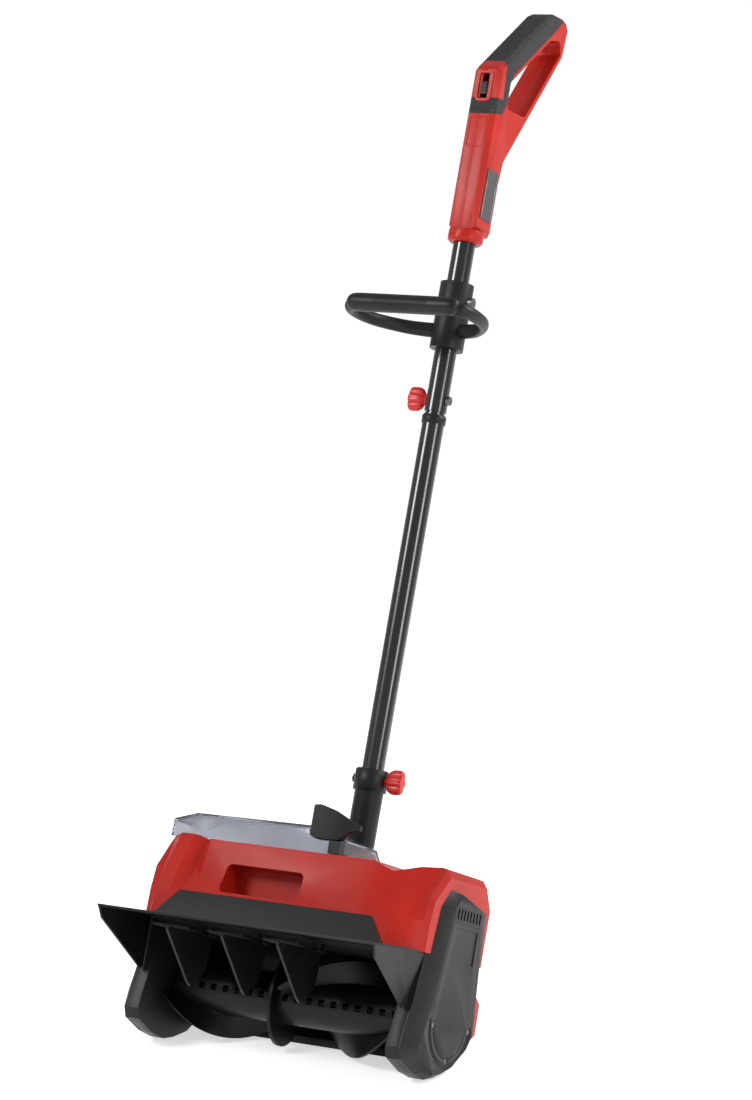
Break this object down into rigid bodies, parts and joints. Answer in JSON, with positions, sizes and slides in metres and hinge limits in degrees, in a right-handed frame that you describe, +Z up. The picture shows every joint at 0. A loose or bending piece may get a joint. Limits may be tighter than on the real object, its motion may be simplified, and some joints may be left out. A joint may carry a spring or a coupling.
{
  "type": "snow blower",
  "caption": "Pole-type cordless snow blower with an auger head, visor with turning vanes, clear battery lid, two-piece pole, front loop handle and trigger grip.",
  "frame": {"origin": "on the floor under the middle of the scraper bar's flat edge, at mid-width of the head", "axes": "+Z up; the pole leans back along +Y by 20 degrees, so the intake faces -Y; +X is across the machine, to the right as seen from in front of the intake"},
  "size_m": [0.36, 0.7142, 1.0979],
  "materials": {
    "red_casing": "gloss",
    "black_casing": "satin",
    "auger_black": "satin",
    "clear_lid": "gloss",
    "tube_black": "gloss",
    "rubber_black": "matte",
    "red_knob": "gloss",
    "steel": "brushed",
    "scraper_steel": "satin",
    "motor_steel": "satin",
    "board_green": "matte",
    "contact_brass": "satin",
    "label_black": "gloss",
    "pack_black": "satin"
  },
  "bodies": {
    "machine": {"auger_housing": "black_casing", "scraper_bar": "scraper_steel", "left_side_frame": "black_casing", "right_side_frame": "black_casing", "shaft_bearings": "steel", "left_side_cover": "black_casing", "right_side_cover": "black_casing", "vent_grilles": "black_casing", "red_hood": "red_casing", "rear_shell": "red_casing", "rear_heel": "black_casing", "visor": "black_casing", "lid_hinge_pin": "steel", "battery_bay": "black_casing", "battery_terminals": "contact_brass", "control_board": "board_green", "drive_motor": "motor_steel", "drive_belt": "rubber_black", "pole_socket": "black_casing", "lower_tube": "tube_black", "tube_spigot": "tube_black", "upper_tube": "tube_black", "clamp_nuts": "steel", "power_cable": "rubber_black", "handle_collar": "red_casing", "handle_left_shell": "red_casing", "handle_right_shell": "red_casing", "grip_cover": "rubber_black", "label_plate": "label_black", "case_screws": "steel"},
    "auger": {"auger_shaft": "steel", "auger_pulley": "pack_black", "auger_drum_upper": "auger_black", "auger_drum_lower": "auger_black", "left_flight": "auger_black", "right_flight": "auger_black", "centre_paddle": "auger_black"},
    "motor_drive": {"motor_shaft": "steel", "motor_pulley": "motor_steel"},
    "deflector_lever": {"lever_paddle": "black_casing", "lever_stem": "black_casing", "right_vane": "black_casing", "right_vane_crank": "black_casing"},
    "vane_middle": {"middle_vane": "black_casing", "middle_vane_crank": "black_casing"},
    "vane_left": {"left_vane": "black_casing", "left_vane_crank": "black_casing"},
    "vane_link": {"vane_link_bar": "black_casing"},
    "lid": {"battery_lid": "clear_lid"},
    "pack_left": {"left_battery_pack": "pack_black"},
    "pack_right": {"right_battery_pack": "pack_black"},
    "knob_lower": {"lower_wing_knob": "red_knob", "lower_clamp_bolt": "steel"},
    "knob_upper": {"upper_wing_knob": "red_knob", "upper_clamp_bolt": "steel"},
    "front_handle": {"aux_handle": "black_casing", "aux_clamp": "black_casing", "aux_clamp_screw": "steel"},
    "trigger": {"trigger": "black_casing"},
    "lock": {"lock_slide": "black_casing"}
  },
  "joints": [
    {"name": "auger_spin", "type": "hinge", "parent": "machine", "child": "auger", "pos_m": [0, -0.02908, 0.055], "axis": [1, 0, 0], "continuous": true},
    {"name": "motor_spin", "type": "hinge", "parent": "machine", "child": "motor_drive", "pos_m": [0, 0.01863, 0.15682], "axis": [1, 0, 0], "continuous": true},
    {"name": "lever_turn", "type": "hinge", "parent": "machine", "child": "deflector_lever", "pos_m": [0.044, -0.07211, 0.12387], "axis": [0, 0.342, 0.9397], "range_deg": [-15, 15]},
    {"name": "middle_vane_turn", "type": "hinge", "parent": "machine", "child": "vane_middle", "pos_m": [-0.024, -0.07211, 0.12387], "axis": [0, 0.342, 0.9397], "range_deg": [-15, 15]},
    {"name": "left_vane_turn", "type": "hinge", "parent": "machine", "child": "vane_left", "pos_m": [-0.092, -0.07211, 0.12387], "axis": [0, 0.342, 0.9397], "range_deg": [-15, 15]},
    {"name": "link_slide", "type": "slide", "parent": "machine", "child": "vane_link", "axis": [1, 0, 0], "range_m": [-0.0048, 0.0048]},
    {"name": "lid_hinge", "type": "hinge", "parent": "machine", "child": "lid", "pos_m": [0, 0.06025, 0.19223], "axis": [1, 0, 0], "range_deg": [-55, 0]},
    {"name": "left_pack_lift", "type": "slide", "parent": "machine", "child": "pack_left", "axis": [0, 0.342, 0.9397], "range_m": [0, 0.014]},
    {"name": "right_pack_lift", "type": "slide", "parent": "machine", "child": "pack_right", "axis": [0, 0.342, 0.9397], "range_m": [0, 0.014]},
    {"name": "lower_knob_turn", "type": "hinge", "parent": "machine", "child": "knob_lower", "pos_m": [0, 0.11666, 0.2712], "axis": [1, 0, 0], "continuous": true},
    {"name": "upper_knob_turn", "type": "hinge", "parent": "machine", "child": "knob_upper", "pos_m": [0, 0.26373, 0.67526], "axis": [1, 0, 0], "continuous": true},
    {"name": "front_handle_slide", "type": "slide", "parent": "machine", "child": "front_handle", "axis": [0, 0.342, 0.9397], "range_m": [-0.022, 0.036]},
    {"name": "trigger_pull", "type": "hinge", "parent": "machine", "child": "trigger", "pos_m": [0, 0.48627, 1.06519], "axis": [1, 0, 0], "range_deg": [-3, 0], "stiffness_Nm_per_rad": 0.6, "springref_deg": 2.86},
    {"name": "lock_slide_travel", "type": "slide", "parent": "machine", "child": "lock", "axis": [0, 0.342, 0.9397], "range_m": [0, 0.006]}
  ],
  "couplings": [
    {"joint": "motor_spin", "follows": "auger_spin", "ratio": 3.4},
    {"joint": "middle_vane_turn", "follows": "lever_turn", "ratio": 1},
    {"joint": "left_vane_turn", "follows": "lever_turn", "ratio": 1},
    {"joint": "link_slide", "follows": "lever_turn", "m_per_rad": -0.018}
  ]
}
